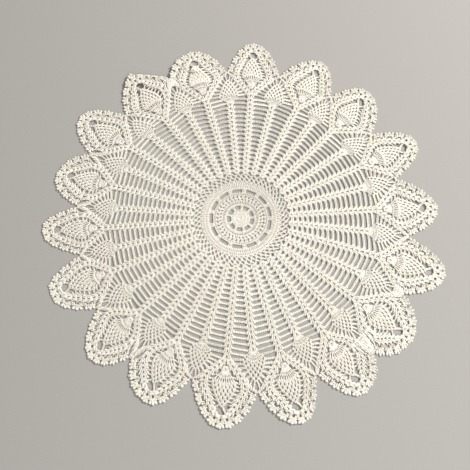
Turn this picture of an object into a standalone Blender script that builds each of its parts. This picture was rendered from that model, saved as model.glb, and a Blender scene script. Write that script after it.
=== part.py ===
"""Crocheted lace doily with eighteen petals, lying flat: one closed solid.

Metres, +Z up. The origin is the centre of the first round, on the plane that the doily rests on.
The lace is laid out in even rounds (radius, bearing), then each bearing is shifted and stretched
a little, because the real piece isn't blocked evenly, and one petal has its edge tucked under.
"""
import math

import bpy
from mathutils import Vector
from mathutils.geometry import delaunay_2d_cdt

MM = 0.001

# ---- main sizes ----
REACH = 240.0 * MM          # centre to the tip of an average petal
PETALS = 18
PETAL_PITCH = 360.0 / PETALS
FIRST_PETAL = 4.4           # bearing of the first petal, degrees from +X towards +Y
TIP_SHARE = 0.998           # reach of the edge on a petal's axis, as a share of REACH
VALLEY_SHARE = 0.838        # reach of the edge between two petals
CROWN_SHARE = 0.795         # reach of the inner pineapple's top, below the valley

# ---- heights of the upper face above the underside ----
NET = 1.2 * MM              # single threads: bars, loops and arches
EDGING = 1.6 * MM           # picot edging
CLOSE_WORK = 2.0 * MM       # rounds of close stitches
RIDGE = 2.5 * MM            # crest of a rib of stitches

# ---- picot edging ----
SCALLOPS = 9                # on each petal
SCALLOP_SPREAD = 0.25       # how much more bearing a scallop takes up at the tip than halfway down a side
SCALLOP_DEPTH = 2.6 * MM
SCALLOP_SHAPE = ((0.0, -0.6), (0.3, 0.4), (0.7, 0.4))   # along one scallop, and out as a share of the depth

# ---- centre medallion ----
BUTTON_RADIUS = 7.0 * MM
SMALL_ARCHES = 9
SMALL_ARCH_INNER = 11.8 * MM
SMALL_ARCH_OUTER = 15.9 * MM
SMALL_ARCH_SPREAD = 28.0    # degrees that one opening covers
SMALL_ARCH_FIRST = 24.0
SMALL_ARCH_STEPS = 1        # straight stretches along one opening
CLOSE_RING = 19.5 * MM
CLOSE_RING_POINTS = 18
SLIT_RING = 26.2 * MM       # the round of slanted threads between the close ring and the wide arches
SLIT_RING_FIRST = 10.0
WIDE_ARCHES = 13
WIDE_ARCH_INNER = 32.9 * MM
WIDE_ARCH_OUTER = 36.9 * MM
WIDE_ARCH_SPREAD = 20.5
WIDE_ARCH_FIRST = 13.9
WIDE_ARCH_STEPS = 2
SHELL_RING = 41.5 * MM
NET_RING = 53.0 * MM        # the middle of the fine net inside the ribs

# ---- ladders between the ribs ----
RIBS = 36
RIB_PITCH = 360.0 / RIBS
LADDER_START = 74.0 * MM
LADDER_END = 146.5 * MM
LADDER_OPENINGS = 6         # each takes in two rounds of the real net
BAR = 2.1 * MM              # width left between two openings
RIB_HALF_AT_START = 3.9 * MM
RIB_HALF_AT_END = 4.6 * MM
RIB_START = 60.0 * MM
FLANK_START = 148.6 * MM    # the opening beside the foot of an inner pineapple
FLANK_END = 160.5 * MM
FLANK_PINEAPPLE_HALF = 11.0 * MM

# ---- pineapples ----
# One row for each round that shapes them: half widths, and heights at the side and in the middle.
# The first and last rows are single points on the axis.
PINEAPPLE_COLUMNS = ("radius", "half", "side", "middle")
INNER_ROWS = (
    (153.0 * MM, 0.0 * MM, RIDGE, RIDGE),
    (162.0 * MM, 9.0 * MM, CLOSE_WORK, CLOSE_WORK),
    (172.0 * MM, 7.0 * MM, CLOSE_WORK, EDGING),
    (182.0 * MM, 0.0 * MM, CLOSE_WORK, CLOSE_WORK),
)
OUTER_ROWS = (
    (181.0 * MM, 0.0 * MM, RIDGE, RIDGE),
    (189.0 * MM, 11.0 * MM, CLOSE_WORK, CLOSE_WORK),
    (201.0 * MM, 8.5 * MM, CLOSE_WORK, EDGING),
    (214.0 * MM, 0.0 * MM, CLOSE_WORK, CLOSE_WORK),
)
# The rib of close stitches that runs round each petal, and the open round outside it.
BAND_COLUMNS = ("radius", "crest", "hem")
BAND_ROWS = (
    (170.0 * MM, 4.0 * MM, 14.0 * MM),
    (181.0 * MM, 14.0 * MM, 21.0 * MM),
    (191.0 * MM, 19.0 * MM, 26.5 * MM),
    (203.0 * MM, 18.0 * MM, 25.5 * MM),
    (215.0 * MM, 12.5 * MM, 20.0 * MM),
    (226.5 * MM, 6.5 * MM, 10.5 * MM),
)
EYE_RADIUS = 222.0 * MM     # its middle
EYE_CORNERS = 6
EYE_HALF_WIDTH = 3.5 * MM
EYE_HALF_HEIGHT = 4.2 * MM

# ---- how unevenly the piece lies ----
# One row for each petal, with the valley that follows it counter-clockwise. Reaches are shares of REACH.
PETAL_COLUMNS = ("bearing", "reach", "valley_bearing", "crown_reach", "valley_reach")
PETAL_ROWS = (
    (3.8, 0.992, 15.2, 0.801, 0.828),
    (24.6, 1.004, 34.5, 0.798, 0.834),
    (45.5, 0.987, 54.7, 0.806, 0.842),
    (63.8, 0.997, 75.2, 0.805, 0.839),
    (85.7, 1.013, 94.8, 0.808, 0.844),
    (105.9, 0.995, 115.6, 0.812, 0.885),
    (126.0, 1.030, 135.7, 0.805, 0.841),
    (146.0, 1.014, 154.6, 0.787, 0.846),
    (165.3, 0.970, 174.5, 0.759, 0.825),
    (184.0, 0.986, 193.1, 0.777, 0.811),
    (202.9, 0.991, 212.9, 0.781, 0.820),
    (223.9, 0.987, 233.0, 0.773, 0.844),
    (243.2, 0.985, 253.0, 0.788, 0.801),
    (264.4, 1.000, 274.8, 0.818, 0.843),
    (285.8, 1.013, 294.6, 0.794, 0.853),
    (304.4, 1.019, 313.2, 0.788, 0.902),
    (323.1, 1.010, 334.4, 0.804, 0.865),
    (343.6, 1.035, 353.7, 0.793, 0.835),
)
WARP_START = 0.15 * REACH   # inside this radius the rounds are even
WARP_LIMIT = 1.1            # the turn stops growing at this share, just past the valleys

# The tucked petal: its edge is folded under along a straight line, from the tip towards the next valley.
TUCK_BEARING = 126.0
TUCK_LINE_START = (-3.0 * MM, 246.0 * MM)   # across and along that bearing
TUCK_LINE_END = (38.0 * MM, 211.0 * MM)
TUCK_RADIUS = 0.5 * MM      # inside radius of the fold
TUCK_CLEAR = 2.0 * MM       # room for the flap under the petal
TUCK_RISE = 32.0 * MM       # how far back the petal starts to rise over the flap
TUCK_LEVEL = 10.0 * MM      # the petal is level over the flap this far back
TUCK_FADE = 18.0 * MM       # the rise dies out this far past the line's ends
TUCK_STEPS = 3              # lines of points over the rise, and round the fold
TUCK_MARGIN = 8.0 * MM      # those lines keep this far inside the line's start
TUCK_OVERRUN = 4.0 * MM     # the fold's own lines run this far past its ends

# Creases: soft ridges between two points, given as radius and bearing.
CREASE_COLUMNS = ("radius_a", "bearing_a", "radius_b", "bearing_b", "height", "half_width")
CREASE_STEPS = 4
CREASE_ROWS = (
    (212.5 * MM, 110.0, 203.5 * MM, 103.8, 2.2 * MM, 5.0 * MM),
    (178.0 * MM, 233.6, 196.0 * MM, 233.2, 1.5 * MM, 4.0 * MM),
    (184.0 * MM, 311.0, 205.0 * MM, 312.6, 1.0 * MM, 3.5 * MM),
)

SAME_PLACE = 0.0001 * MM    # points nearer than this are one
PLACE_DIGITS = 7            # decimals of a metre that tell two places apart


def smooth(value):
    """A soft step from 0 to 1."""
    value = min(max(value, 0.0), 1.0)
    return value * value * (3.0 - 2.0 * value)


def rows(columns, table):
    """The rows of a table as dictionaries."""
    return [dict(zip(columns, row)) for row in table]


def flat_point(radius, bearing):
    angle = math.radians(bearing)
    return radius * math.cos(angle), radius * math.sin(angle)


def across(radius, width):
    """The angle in degrees that a width takes up at a radius."""
    return math.degrees(width / radius)


# ---- the even rounds, as (radius, bearing, height) points ----


def petal_axis(petal):
    return FIRST_PETAL + petal * PETAL_PITCH


def edge_radius(offset):
    """The edge of a petal, at an angle from the petal's axis."""
    share = abs(offset) / (PETAL_PITCH / 2)
    return REACH * (TIP_SHARE - (TIP_SHARE - VALLEY_SHARE) * share ** 2)


def edge_offset(place):
    """The angle from a petal's axis at a place from -1 to 1 along its edge, for about even scallops."""
    return PETAL_PITCH / 2 * place * (1.0 + SCALLOP_SPREAD * (1.0 - abs(place)))


def outline():
    """Scallops round every petal: a notch and two shoulders each."""
    points = []
    for petal in range(PETALS):
        for scallop in range(SCALLOPS):
            for share, out in SCALLOP_SHAPE:
                offset = edge_offset(2.0 * (scallop + share) / SCALLOPS - 1.0)
                radius = edge_radius(offset) + out * SCALLOP_DEPTH
                points.append((radius, petal_axis(petal) + offset, EDGING))
    return points


def arches(count, first, spread, inner, outer, steps):
    """A ring of arched openings."""
    loops = []
    for arch in range(count):
        middle = first + arch * 360.0 / count
        turn = [middle - spread / 2 + spread * step / steps for step in range(steps + 1)]
        loop = [(inner, bearing, CLOSE_WORK) for bearing in turn]
        loop += [(outer, bearing, CLOSE_WORK) for bearing in reversed(turn)]
        loops.append(loop)
    return loops


def rib_half(radius):
    share = (radius - LADDER_START) / (LADDER_END - LADDER_START)
    return RIB_HALF_AT_START + share * (RIB_HALF_AT_END - RIB_HALF_AT_START)


def ladder_openings():
    """Six openings up each ladder, between two ribs."""
    loops = []
    pitch = (LADDER_END - LADDER_START) / LADDER_OPENINGS
    for rib in range(RIBS):
        low = FIRST_PETAL + rib * RIB_PITCH
        high = low + RIB_PITCH
        for opening in range(LADDER_OPENINGS):
            inner = LADDER_START + opening * pitch
            outer = inner + pitch - BAR
            loop = []
            for radius, side in ((inner, low), (outer, low), (outer, high), (inner, high)):
                inset = across(radius, rib_half(radius))
                bearing = side + inset if side == low else side - inset
                loop.append((radius, bearing, NET))
            loops.append(loop)
    return loops


def flank_openings():
    """One opening on each side of an inner pineapple's foot, where the ladder narrows."""
    loops = []
    for petal in range(PETALS):
        for side in (-1, 1):
            axis = petal_axis(petal)
            crown = axis + side * PETAL_PITCH / 2
            loops.append([
                (FLANK_START, axis + side * across(FLANK_START, RIB_HALF_AT_END), NET),
                (FLANK_END, axis + side * across(FLANK_END, RIB_HALF_AT_END), NET),
                (FLANK_END, crown - side * across(FLANK_END, FLANK_PINEAPPLE_HALF), NET),
                (FLANK_START, crown - side * across(FLANK_START, RIB_HALF_AT_END), NET),
            ])
    return loops


def eye_openings():
    """The eye near the tip of each petal, above its pineapple."""
    loops = []
    for petal in range(PETALS):
        loop = []
        for corner in range(EYE_CORNERS):
            turn = math.tau * (corner + 0.5) / EYE_CORNERS
            radius = EYE_RADIUS + EYE_HALF_HEIGHT * math.sin(turn)
            width = EYE_HALF_WIDTH * math.cos(turn)
            loop.append((radius, petal_axis(petal) - across(radius, width), CLOSE_WORK))
        loops.append(loop)
    return loops


def ring(radius, count, height, first=0.0):
    """A closed round of points."""
    points = [(radius, first + step * 360.0 / count, height) for step in range(count)]
    return points + points[:1]


def raised_lines():
    """Crests of the ribs, rings and petals, as lines of points on the upper face."""
    lines = [
        [(0.0, 0.0, RIDGE)],
        ring(BUTTON_RADIUS, SMALL_ARCHES, RIDGE, SMALL_ARCH_FIRST),
        ring(CLOSE_RING, CLOSE_RING_POINTS, CLOSE_WORK),
        ring(SLIT_RING, CLOSE_RING_POINTS, NET, SLIT_RING_FIRST),
        ring(SHELL_RING, 2 * WIDE_ARCHES, CLOSE_WORK, WIDE_ARCH_FIRST),
        ring(NET_RING, RIBS, NET, FIRST_PETAL),
    ]
    pitch = (LADDER_END - LADDER_START) / LADDER_OPENINGS
    for rib in range(RIBS):
        bearing = FIRST_PETAL + rib * RIB_PITCH
        stops = [RIB_START] + [LADDER_START + step * pitch for step in range(LADDER_OPENINGS + 1)]
        lines.append([(radius, bearing, RIDGE) for radius in stops])
    for petal in range(PETALS):
        axis = petal_axis(petal)
        lines += pineapple(axis + PETAL_PITCH / 2, INNER_ROWS)
        lines += pineapple(axis, OUTER_ROWS)
        for side in (-1, 1):
            lines.append([(row["radius"], axis + side * across(row["radius"], row["crest"]), RIDGE)
                          for row in rows(BAND_COLUMNS, BAND_ROWS)])
            lines.append([(row["radius"], axis + side * across(row["radius"], row["hem"]), NET)
                          for row in rows(BAND_COLUMNS, BAND_ROWS)])
    return lines


def pineapple(axis, table):
    """The outline of a pineapple and the crest up its middle."""
    shape = rows(PINEAPPLE_COLUMNS, table)
    left = [(row["radius"], axis - across(row["radius"], row["half"]), row["side"]) for row in shape]
    right = [(row["radius"], axis + across(row["radius"], row["half"]), row["side"]) for row in shape]
    middle = [(row["radius"], axis, row["middle"]) for row in shape[1:-1]]
    return [left + right[-2:0:-1] + left[:1], middle]


# ---- from the even rounds to the piece as it lies ----


def unevenness():
    """Bearings round the doily with what each adds: (bearing, turn, inner stretch, edge stretch)."""
    stops = []
    for petal, row in enumerate(rows(PETAL_COLUMNS, PETAL_ROWS)):
        axis = petal_axis(petal)
        valley = axis + PETAL_PITCH / 2
        stops.append((axis, row["bearing"] - axis, row["reach"] - 1.0, row["reach"] - 1.0))
        stops.append((valley, row["valley_bearing"] - valley,
                      row["crown_reach"] / CROWN_SHARE - 1.0,
                      row["valley_reach"] / VALLEY_SHARE - 1.0))
    return stops


STOPS = unevenness()


def warp(radius, bearing):
    """Where a point of the even rounds lies, seen from above."""
    place = (bearing - FIRST_PETAL) % 360.0 / (PETAL_PITCH / 2)
    index = int(place) % len(STOPS)
    before, after = STOPS[index], STOPS[(index + 1) % len(STOPS)]
    share = smooth(place - int(place))
    turn, inner, edge = (a + (b - a) * share for a, b in zip(before[1:], after[1:]))
    grow = min(max((radius - WARP_START) / (CROWN_SHARE * REACH - WARP_START), 0.0), WARP_LIMIT)
    rim = smooth((radius / REACH - CROWN_SHARE) / (VALLEY_SHARE - CROWN_SHARE))
    stretch = inner * min(grow, 1.0) * (1.0 - rim) + edge * rim
    return flat_point(radius * (1.0 + stretch), bearing + turn * grow)


def tuck_frame():
    """Start and end of the tuck's line, its direction and the direction out of the petal."""
    out = Vector(flat_point(1.0, TUCK_BEARING))
    side = Vector((out.y, -out.x))
    start = side * TUCK_LINE_START[0] + out * TUCK_LINE_START[1]
    end = side * TUCK_LINE_END[0] + out * TUCK_LINE_END[1]
    along = (end - start).normalized()
    return start, end, along, Vector((-along.y, along.x))


TUCK_START, TUCK_END, TUCK_ALONG, TUCK_OUT = tuck_frame()
TUCK_LENGTH = (TUCK_END - TUCK_START).length
TUCK_BEND = math.pi * TUCK_RADIUS


def crease_lines():
    lines = []
    for row in rows(CREASE_COLUMNS, CREASE_ROWS):
        start = Vector(flat_point(row["radius_a"], row["bearing_a"]))
        end = Vector(flat_point(row["radius_b"], row["bearing_b"]))
        lines.append((start, end, row["height"], row["half_width"]))
    return lines


CREASES = crease_lines()


def ground_lift(x, y):
    """How far the underside is off the table, from the creases and the tuck."""
    point = Vector((x, y))
    lift = 0.0
    for start, end, height, half_width in CREASES:
        along = (end - start).normalized()
        length = (end - start).length
        run = min(max((point - start).dot(along), 0.0), length)
        gap = (point - start - along * run).length
        taper = 1.0 - (2.0 * run / length - 1.0) ** 2
        lift += height * taper * smooth(1.0 - gap / half_width)
    depth = (point - TUCK_START).dot(TUCK_OUT)
    run = (point - TUCK_START).dot(TUCK_ALONG)
    past = max(-run, run - TUCK_LENGTH, 0.0)
    level = TUCK_CLEAR + 2 * TUCK_RADIUS
    rise = smooth((TUCK_RISE + depth) / (TUCK_RISE - TUCK_LEVEL)) * smooth(1.0 - past / TUCK_FADE)
    return lift * (1.0 - rise) + level * rise


def settle(x, y, height):
    """The place of a point that is some height above the underside, with the tuck folded."""
    point = Vector((x, y))
    depth = (point - TUCK_START).dot(TUCK_OUT)
    run = (point - TUCK_START).dot(TUCK_ALONG)
    if depth <= 0.0 or not -TUCK_FADE < run < TUCK_LENGTH:
        return x, y, ground_lift(x, y) + height
    angle = math.pi * min(depth / TUCK_BEND, 1.0)
    back = max(depth - TUCK_BEND, 0.0)
    base = point - TUCK_OUT * depth
    base += TUCK_OUT * ((TUCK_RADIUS + height) * math.sin(angle) - back)
    return base.x, base.y, TUCK_CLEAR + TUCK_RADIUS + (TUCK_RADIUS + height) * math.cos(angle)


# ---- the mesh ----


class Plan:
    """Points and lines seen from above, with the height of the upper face at each point."""

    def __init__(self):
        self.points = []
        self.heights = []
        self.edges = []

    def add_line(self, line, closed=False):
        first = len(self.points)
        for x, y, height in line:
            self.points.append(Vector((x, y)))
            self.heights.append(height)
        count = len(line)
        for step in range(count if closed else count - 1):
            self.edges.append((first + step, first + (step + 1) % count))


def warped(line):
    return [(*warp(radius, bearing), height) for radius, bearing, height in line]


def fold_lines():
    """Straight lines where the tucked petal starts to rise, levels out and bends."""
    lines = []
    for step in range(TUCK_STEPS + 1):
        depth = -TUCK_LEVEL - (TUCK_RISE - TUCK_LEVEL) * step / TUCK_STEPS
        lines.append(tuck_line(depth, TUCK_MARGIN, TUCK_LENGTH + TUCK_FADE, 2 * TUCK_STEPS))
    for step in range(TUCK_STEPS + 1):
        lines.append(tuck_line(TUCK_BEND * step / TUCK_STEPS, -TUCK_OVERRUN, TUCK_LENGTH + TUCK_OVERRUN, 1))
    return lines


def tuck_line(depth, start, end, steps):
    """A line along the tuck, some way out from it."""
    base = TUCK_START + TUCK_OUT * depth
    stops = [start + (end - start) * step / steps for step in range(steps + 1)]
    return [(*(base + TUCK_ALONG * stop), EDGING) for stop in stops]


def crease_supports():
    """The crest of each crease and the foot on both sides of it."""
    lines = []
    for start, end, _, half_width in CREASES:
        along = (end - start).normalized()
        foot = Vector((-along.y, along.x)) * half_width
        stops = [start.lerp(end, step / CREASE_STEPS) for step in range(CREASE_STEPS + 1)]
        for shift in (-foot, foot * 0.0, foot):
            lines.append([(*(stop + shift), CLOSE_WORK) for stop in stops])
    return lines


def inside(x, y, loop):
    """True where a point is inside a closed line."""
    hit = False
    last_x, last_y = loop[-1][:2]
    for next_x, next_y, _ in loop:
        if (next_y > y) != (last_y > y):
            if x < (last_x - next_x) * (y - next_y) / (last_y - next_y) + next_x:
                hit = not hit
        last_x, last_y = next_x, next_y
    return hit


def triangulate(edge, openings, lines):
    """Triangles of the lace seen from above, as (points, heights, triangles)."""
    plan = Plan()
    for loop in [edge] + openings:
        plan.add_line(loop, closed=True)
    for line in lines:
        plan.add_line(line)
    points, _, faces, origins, _, _ = delaunay_2d_cdt(plan.points, plan.edges, [], 0, SAME_PLACE)
    heights = [plan.heights[source[0]] if source else EDGING for source in origins]
    boxes = [(min(p[0] for p in loop), max(p[0] for p in loop), loop) for loop in openings]
    kept = []
    for face in faces:
        x = sum(points[corner].x for corner in face) / 3
        y = sum(points[corner].y for corner in face) / 3
        if not inside(x, y, edge):
            continue
        if any(low < x < high and inside(x, y, loop) for low, high, loop in boxes):
            continue
        kept.append(tuple(face))
    return points, heights, kept


def border(faces):
    """Directed edges that only one triangle has."""
    sides = {(face[k], face[(k + 1) % 3]) for face in faces for k in range(3)}
    return [(a, b) for a, b in sides if (b, a) not in sides]


def place_key(point):
    return round(point.x, PLACE_DIGITS), round(point.y, PLACE_DIGITS)


def doily_mesh():
    edge = warped(outline())
    small = arches(SMALL_ARCHES, SMALL_ARCH_FIRST, SMALL_ARCH_SPREAD,
                   SMALL_ARCH_INNER, SMALL_ARCH_OUTER, SMALL_ARCH_STEPS)
    wide = arches(WIDE_ARCHES, WIDE_ARCH_FIRST, WIDE_ARCH_SPREAD,
                  WIDE_ARCH_INNER, WIDE_ARCH_OUTER, WIDE_ARCH_STEPS)
    openings = [warped(loop) for loop in
                small + wide + ladder_openings() + flank_openings() + eye_openings()]
    shared = fold_lines() + crease_supports()
    raised = [warped(line) for line in raised_lines()]
    upper, heights, upper_faces = triangulate(edge, openings, raised + shared)
    lower, _, lower_faces = triangulate(edge, openings, shared)

    used = sorted({corner for face in upper_faces for corner in face})
    index = {corner: place for place, corner in enumerate(used)}
    verts = [settle(upper[corner].x, upper[corner].y, heights[corner]) for corner in used]
    faces = [tuple(index[corner] for corner in face) for face in upper_faces]

    below = {}
    for corner in sorted({corner for face in lower_faces for corner in face}):
        below[corner] = len(verts)
        verts.append(settle(lower[corner].x, lower[corner].y, 0.0))
    faces += [tuple(below[corner] for corner in reversed(face)) for face in lower_faces]

    under = {place_key(lower[corner]): below[corner] for corner in below}
    for a, b in sorted(border(upper_faces)):
        under_a, under_b = under[place_key(upper[a])], under[place_key(upper[b])]
        faces.append((index[a], under_a, under_b))
        faces.append((index[a], under_b, index[b]))
    return verts, faces


def cotton():
    """Ecru cotton thread."""
    material = bpy.data.materials.new("ecru_cotton")
    material.use_nodes = True
    shader = material.node_tree.nodes["Principled BSDF"]
    shader.inputs["Base Color"].default_value = (0.80, 0.77, 0.66, 1.0)
    shader.inputs["Roughness"].default_value = 0.9
    shader.inputs["Metallic"].default_value = 0.0
    return material


def make_doily():
    verts, faces = doily_mesh()
    mesh = bpy.data.meshes.new("doily")
    mesh.from_pydata(verts, [], faces)
    mesh.validate()
    mesh.materials.append(cotton())
    doily = bpy.data.objects.new("doily", mesh)
    bpy.context.scene.collection.objects.link(doily)
    print("doily:", len(verts), "points,", len(faces), "triangles")


def main():
    for old in list(bpy.data.objects):
        bpy.data.objects.remove(old)
    make_doily()


main()
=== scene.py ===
# %% [markdown]
# # A crocheted lace doily, stitch by stitch
# The real doily is one piece of cotton lace. It is worked from the middle outwards in rounds, with one
# thread, and lies flat on a table. Up close it is nothing but two kinds of thing: tall stitches, which are
# short fat twists of thread, and chains, which are rows of small interlocked loops. So the doily is made
# here in the same way: each round is written down as a list of stitches, Geometry Nodes put a stitch shape
# on each entry, and the finished lace is then pulled a little out of true, as handwork is.

# %% Load the frame that carries the doily
import cmath
import math

import bpy
import numpy as np
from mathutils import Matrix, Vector


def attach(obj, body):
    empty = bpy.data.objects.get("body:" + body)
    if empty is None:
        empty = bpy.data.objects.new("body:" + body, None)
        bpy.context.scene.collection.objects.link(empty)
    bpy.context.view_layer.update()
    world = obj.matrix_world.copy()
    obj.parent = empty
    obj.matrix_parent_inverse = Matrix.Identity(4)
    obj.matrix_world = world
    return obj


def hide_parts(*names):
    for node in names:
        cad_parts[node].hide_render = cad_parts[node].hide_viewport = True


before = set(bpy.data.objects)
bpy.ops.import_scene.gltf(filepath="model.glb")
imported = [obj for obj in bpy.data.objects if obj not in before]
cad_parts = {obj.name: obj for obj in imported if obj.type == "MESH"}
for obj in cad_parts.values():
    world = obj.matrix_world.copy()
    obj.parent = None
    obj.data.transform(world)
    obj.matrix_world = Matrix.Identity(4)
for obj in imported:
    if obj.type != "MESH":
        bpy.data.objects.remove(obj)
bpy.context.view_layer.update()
MM = 0.001


def in_mm(rows):
    """Millimetres as metres, in rows within rows."""
    return tuple(in_mm(row) if isinstance(row, tuple) else row * MM for row in rows)


# %% [markdown]
# ## How unevenly the doily lies
# Nobody has pinned this doily out, so its petals differ by a few per cent in reach and by a degree or two in
# direction, and one petal has its edge folded under. Modelling every stitch in its crooked place would be
# hopeless. Instead all rounds are laid out evenly first, and one function moves any point of the even lace to
# where it really lies. Its table has one row for each petal and the valley that follows it. Bearings are in
# degrees from +X towards +Y, and reaches are shares of REACH. "left" and "right" say how much the petal's
# flanks bulge, seen from the middle.

# %% Main sizes and the petals' table
REACH = 240.0 * MM
PETALS = 18
PETAL_PITCH = 360.0 / PETALS
FIRST_PETAL = 4.4
TIP_SHARE = 0.998       # reach of the even edge on a petal's axis, and then between two petals
VALLEY_SHARE = 0.838
CROWN_SHARE = 0.795     # reach of the inner pineapples' tops
WARP_START = 0.15 * REACH  # the middle is even, and from here on the bearings change
WARP_LIMIT = 1.1
PETAL_COLUMNS = ("bearing", "reach", "valley_bearing", "crown_reach", "valley_reach", "left", "right")
PETAL_ROWS = (
    (3.8, 0.992, 14.9, 0.801, 0.822, -0.014, 0.002),
    (24.6, 1.004, 34.2, 0.798, 0.825, 0.004, 0.003),
    (45.5, 0.987, 54.8, 0.806, 0.834, 0.005, -0.002),
    (63.8, 0.997, 75.2, 0.805, 0.832, -0.002, -0.004),
    (85.7, 1.013, 94.9, 0.808, 0.834, 0.001, 0.000),
    (105.9, 0.995, 115.7, 0.812, 0.873, -0.011, 0.000),
    (126.0, 0.988, 136.4, 0.805, 0.833, -0.004, 0.000),
    (146.0, 1.014, 155.7, 0.787, 0.853, 0.000, 0.003),
    (165.3, 0.970, 175.4, 0.759, 0.822, 0.008, -0.011),
    (184.0, 0.986, 193.5, 0.777, 0.808, 0.002, 0.011),
    (202.9, 0.991, 213.5, 0.781, 0.820, 0.010, 0.018),
    (223.9, 0.987, 233.1, 0.773, 0.855, -0.004, -0.009),
    (243.2, 0.985, 253.6, 0.788, 0.808, 0.014, -0.007),
    (264.4, 1.000, 275.1, 0.818, 0.844, 0.005, 0.004),
    (285.8, 1.013, 294.6, 0.794, 0.835, 0.004, 0.002),
    (304.4, 1.019, 313.2, 0.788, 0.909, -0.016, 0.004),
    (323.1, 1.010, 333.9, 0.804, 0.872, -0.007, -0.014),
    (343.6, 1.035, 353.7, 0.793, 0.835, 0.004, -0.003),
)


def smooth(value):
    """A soft step from 0 to 1, on a number or an array."""
    value = np.clip(value, 0.0, 1.0)
    return value * value * (3.0 - 2.0 * value)


def petal_axis(petal):
    return FIRST_PETAL + petal * PETAL_PITCH


def petal_row(petal):
    return dict(zip(PETAL_COLUMNS, PETAL_ROWS[petal % PETALS]))


def stops():
    """For each petal's axis and each valley: an added bearing, two stretches and the next flank's bulge."""
    found = []
    for petal in range(PETALS):
        row = petal_row(petal)
        valley = petal_axis(petal) + PETAL_PITCH / 2
        stretch = row["reach"] - 1.0
        found.append((row["bearing"] - petal_axis(petal), stretch, stretch, row["left"]))
        found.append((row["valley_bearing"] - valley, row["crown_reach"] / CROWN_SHARE - 1.0,
                      row["valley_reach"] / VALLEY_SHARE - 1.0, petal_row(petal + 1)["right"]))
    return np.array(found)


STOPS = stops()
print("stops round the doily:", len(STOPS))


# %% Pull the even rounds into their real places
def warp(x, y):
    """Where points of the even rounds lie, seen from above."""
    radius = np.hypot(x, y)
    bearing = np.degrees(np.arctan2(y, x))
    place = (bearing - FIRST_PETAL) % 360.0 / (PETAL_PITCH / 2)
    index = place.astype(int) % len(STOPS)
    part = place - np.floor(place)
    before, after = STOPS[index], STOPS[(index + 1) % len(STOPS)]
    turn, inner, edge, _ = (before + (after - before) * smooth(part)[:, None]).T
    bulge = before[:, 3] * np.sin(math.pi * part)
    grow = np.clip((radius - WARP_START) / (CROWN_SHARE * REACH - WARP_START), 0.0, WARP_LIMIT)
    rim = smooth((radius / REACH - CROWN_SHARE) / (VALLEY_SHARE - CROWN_SHARE))
    stretch = inner * np.minimum(grow, 1.0) * (1.0 - rim) + edge * rim + bulge * rim
    angle = np.radians(bearing + turn * grow)
    return radius * (1.0 + stretch) * np.cos(angle), radius * (1.0 + stretch) * np.sin(angle)


# %% [markdown]
# ## The tuck and the creases
# On one petal the edge has slipped under, along a straight line from the tip towards the next valley. The tip
# is drawn out to a corner, a point past the line goes round a small half circle and comes back underneath,
# and the petal above rises to make room. A cloth simulation would fold it somewhere else each time, so the
# fold is a formula here. Creases are soft ridges between two points, and slow waves keep parts of the rim a
# hair off the table.

# %% The line of the tuck
def polar(radius, bearing):
    """Places in the plane are complex numbers, so that turning one is a multiplication."""
    return cmath.rect(radius, math.radians(bearing))


def on_bearing(bearing, across, along):
    """A place along a bearing and to the right of it."""
    return complex(along, -across) * polar(1.0, bearing)


TUCK_RADIUS = 0.5 * MM  # of the half circle on the inside of the fold
TUCK_BEND = math.pi * TUCK_RADIUS
TUCK_CLEAR = 2.0 * MM   # room for the layer that is folded under
TUCK_RISE = 32.0 * MM   # how far inside the fold the petal starts to rise,
TUCK_LEVEL = 10.0 * MM  # and how far inside it is level again
TUCK_FADE = 18.0 * MM   # how far past both ends of the line it sinks back
TUCK_PULL = 6.5 * MM    # how far the tip is drawn out
TUCK_PULL_WIDTH = 14.0 * MM
TUCK_BEARING = 126.0
# Both ends of the line and the middle of the tip: how far to the right of that bearing, and how far out.
TUCK_FROM, TUCK_TO, TUCK_TIP = (on_bearing(TUCK_BEARING, *place)
                                for place in in_mm(((-5.1, 243.5), (35.9, 208.5), (-3.5, 240.5))))
TUCK_LENGTH = abs(TUCK_TO - TUCK_FROM)
TUCK_ALONG = (TUCK_TO - TUCK_FROM) / TUCK_LENGTH
TUCK_OUT = TUCK_ALONG * 1j
print("the tuck is", round(TUCK_LENGTH / MM, 1), "mm long")

# %% Creases, waves and where a point ends up
CREASE_ROWS = (
    (212.5 * MM, 110.0, 203.5 * MM, 103.8, 3.2 * MM, 11.0 * MM, 1.3 * MM),
    (178.0 * MM, 233.6, 196.0 * MM, 233.2, 1.5 * MM, 4.0 * MM, 4.0 * MM),
    (184.0 * MM, 311.0, 205.0 * MM, 312.6, 1.0 * MM, 3.5 * MM, 3.5 * MM),
)
WAVE_HEIGHT = 0.8 * MM
WAVE_START = 165.0 * MM
WAVES = ((3, 20.0, 0.6), (7, 75.0, 0.4))  # number round the rim, bearing of a crest, share of the height
REST_LEVEL = 0.3 * MM   # below this height a stitch flattens against the table


def frame_of_tuck(place):
    """How far places are beyond the tuck's line, and how far along it."""
    local = (place - TUCK_FROM) * np.conj(TUCK_ALONG)
    return local.imag, local.real


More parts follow.
